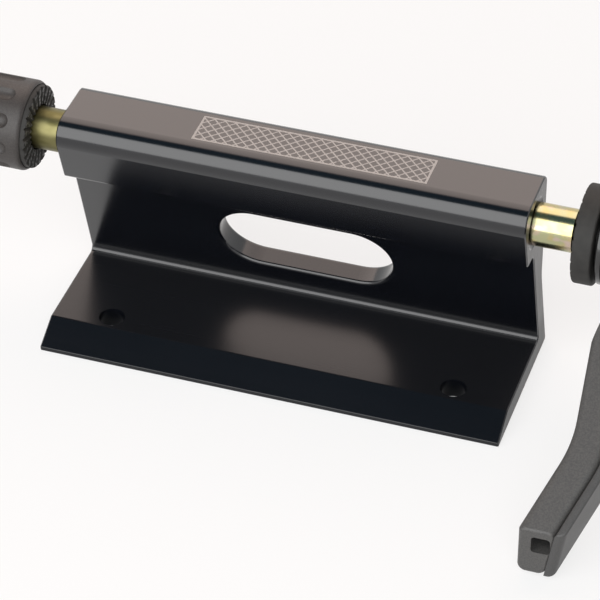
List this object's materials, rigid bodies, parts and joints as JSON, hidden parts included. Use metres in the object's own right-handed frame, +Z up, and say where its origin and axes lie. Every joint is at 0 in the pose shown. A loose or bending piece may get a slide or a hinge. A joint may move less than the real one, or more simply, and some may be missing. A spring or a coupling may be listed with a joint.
{
  "type": "bicycle fork mount",
  "caption": "Bench or truck-bed block that clamps a bicycle fork: extruded angle bracket with a nose bar, hollow axle, quick-release skewer, cam lever and adjusting knob.",
  "frame": {"origin": "middle of the underside of the foot, the face that is bolted down", "axes": "+X along the axle towards the lever, +Y to the back, +Z up out of the foot"},
  "size_m": [0.1551, 0.0724, 0.0512],
  "materials": {
    "black_anodised": "black anodised, semi-gloss",
    "yellow_zinc": "yellow chromate zinc plate, bright",
    "steel": "bright turned steel",
    "bronze": "plain machined",
    "black_paint": "gloss black paint",
    "black_steel": "blackened steel",
    "seal_rubber": "matt",
    "nylon": "natural nylon",
    "lever_coat": "black powder coat on cast alloy",
    "lever_plastic": "moulded black plastic",
    "knob_plastic": "moulded black plastic"
  },
  "bodies": {
    "block": {"bracket": "black_anodised", "axle_sleeve": "yellow_zinc"},
    "cam_head": {"cam_housing": "black_paint", "lever_clamp_ring": "black_steel", "rod_seal": "seal_rubber", "upper_bushing": "nylon", "lower_bushing": "nylon"},
    "lever": {"lever_arm": "lever_coat", "lever_cover": "lever_plastic", "cam_shaft": "steel", "lever_pin": "steel"},
    "rod": {"skewer_rod": "steel", "eye_liner": "bronze"},
    "nut_ring": {"knob_clamp_ring": "black_steel"},
    "knob": {"knob_body": "knob_plastic", "knob_insert": "bronze", "locking_ring": "nylon", "ring_clip": "steel"}
  },
  "joints": [
    {"name": "skewer_turn", "type": "hinge", "parent": "block", "child": "cam_head", "pos_m": [0, 0.0037, 0.041], "axis": [1, 0, 0], "continuous": true},
    {"name": "lever_swing", "type": "hinge", "parent": "cam_head", "child": "lever", "pos_m": [0.072, 0.0037, 0.041], "axis": [0, -0.515, 0.8572], "range_deg": [0, 180]},
    {"name": "cam_draw", "type": "slide", "parent": "cam_head", "child": "rod", "axis": [-1, 0, 0], "range_m": [0, 0.0016]},
    {"name": "nut_travel", "type": "slide", "parent": "rod", "child": "nut_ring", "axis": [1, 0, 0], "range_m": [-0.0048, 0.0022]},
    {"name": "nut_spin", "type": "hinge", "parent": "nut_ring", "child": "knob", "pos_m": [-0.065, 0.0037, 0.041], "axis": [1, 0, 0], "range_deg": [-2160, 990]}
  ],
  "couplings": [
    {"joint": "cam_draw", "follows": "lever_swing", "m_per_rad": 0.0005093},
    {"joint": "nut_travel", "follows": "nut_spin", "m_per_rad": 0.00012732}
  ]
}
